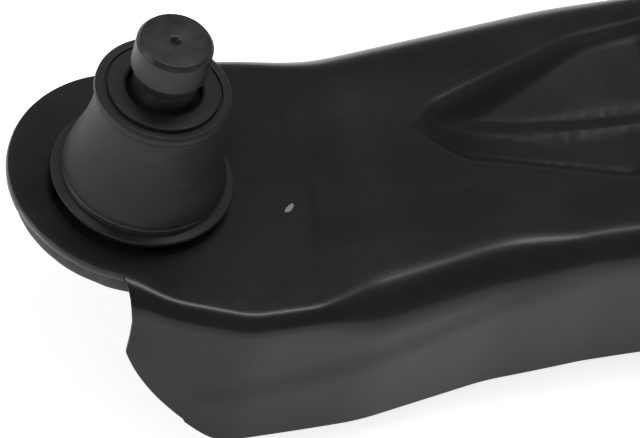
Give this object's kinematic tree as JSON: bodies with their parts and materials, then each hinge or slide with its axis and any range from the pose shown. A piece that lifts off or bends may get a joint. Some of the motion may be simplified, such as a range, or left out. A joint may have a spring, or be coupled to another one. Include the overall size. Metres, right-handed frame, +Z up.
{
  "type": "suspension control arm",
  "caption": "Pressed steel lower control arm with a pinch-stud ball joint under a rubber boot and two rubber bushes at the inboard end.",
  "frame": {"origin": "centre of the flat underside of the ball joint's bottom cover", "axes": "+Z up along the ball stud, +X from the ball joint towards the inboard end, +Y towards the rear leg"},
  "size_m": [0.3745, 0.31, 0.1023],
  "materials": {
    "coated_sheet": "semi-gloss black dip coating over pressed steel",
    "coated_weld": "black dip coating over a weld bead",
    "dark_steel": "black coated forged steel",
    "stud_steel": "dark phosphated steel, fine turning marks",
    "ring_steel": "darkened spring steel",
    "zinc_steel": "bright zinc plate",
    "spring_steel": "oiled spring steel",
    "seat_plastic": "natural acetal",
    "boot_rubber": "satin moulded rubber",
    "bush_rubber": "matt moulded rubber"
  },
  "bodies": {
    "arm": {"upper_stamping": "coated_sheet", "lower_plate": "coated_sheet", "front_eye_tube": "coated_sheet", "rear_eye_ring": "coated_sheet", "front_eye_weld": "coated_weld", "rear_eye_weld": "coated_weld", "housing_weld": "coated_weld", "joint_housing": "dark_steel", "joint_cover": "dark_steel", "upper_ball_seat": "seat_plastic", "lower_ball_seat": "seat_plastic", "preload_spring": "spring_steel", "boot_base": "boot_rubber", "boot_lower_ring": "ring_steel", "front_bush_outer_sleeve": "zinc_steel", "rear_bush_outer_can": "zinc_steel", "front_bush_rubber": "bush_rubber", "rear_bush_rubber": "bush_rubber"},
    "boot_middle": {"boot_bellows": "boot_rubber"},
    "boot_top": {"boot_collar": "boot_rubber", "boot_upper_ring": "ring_steel"},
    "stud": {"ball_stud": "stud_steel"},
    "front_inner": {"front_bush_inner_sleeve": "zinc_steel"},
    "rear_inner": {"rear_bush_inner_sleeve": "zinc_steel"}
  },
  "joints": [
    {"name": "stud_swing_along", "type": "hinge", "parent": "arm", "child": "boot_middle", "pos_m": [0, 0, 0.0185], "axis": [0, 1, 0], "range_deg": [-22, 22], "deforming": ["boot_bellows"]},
    {"name": "stud_swing_across", "type": "hinge", "parent": "boot_middle", "child": "boot_top", "pos_m": [0, 0, 0.0185], "axis": [1, 0, 0], "range_deg": [-15, 15], "deforming": ["boot_bellows"]},
    {"name": "stud_spin", "type": "hinge", "parent": "boot_top", "child": "stud", "pos_m": [0, 0, 0.0185], "axis": [0, 0, 1], "continuous": true},
    {"name": "front_bush_twist", "type": "hinge", "parent": "arm", "child": "front_inner", "pos_m": [0.318, -0.06, -0.008], "axis": [0, 1, 0], "range_deg": [-25, 25], "stiffness_Nm_per_rad": 80},
    {"name": "rear_bush_twist", "type": "hinge", "parent": "arm", "child": "rear_inner", "pos_m": [0.268, 0.19, 0], "axis": [0, 0, 1], "range_deg": [-12, 12], "stiffness_Nm_per_rad": 90}
  ]
}
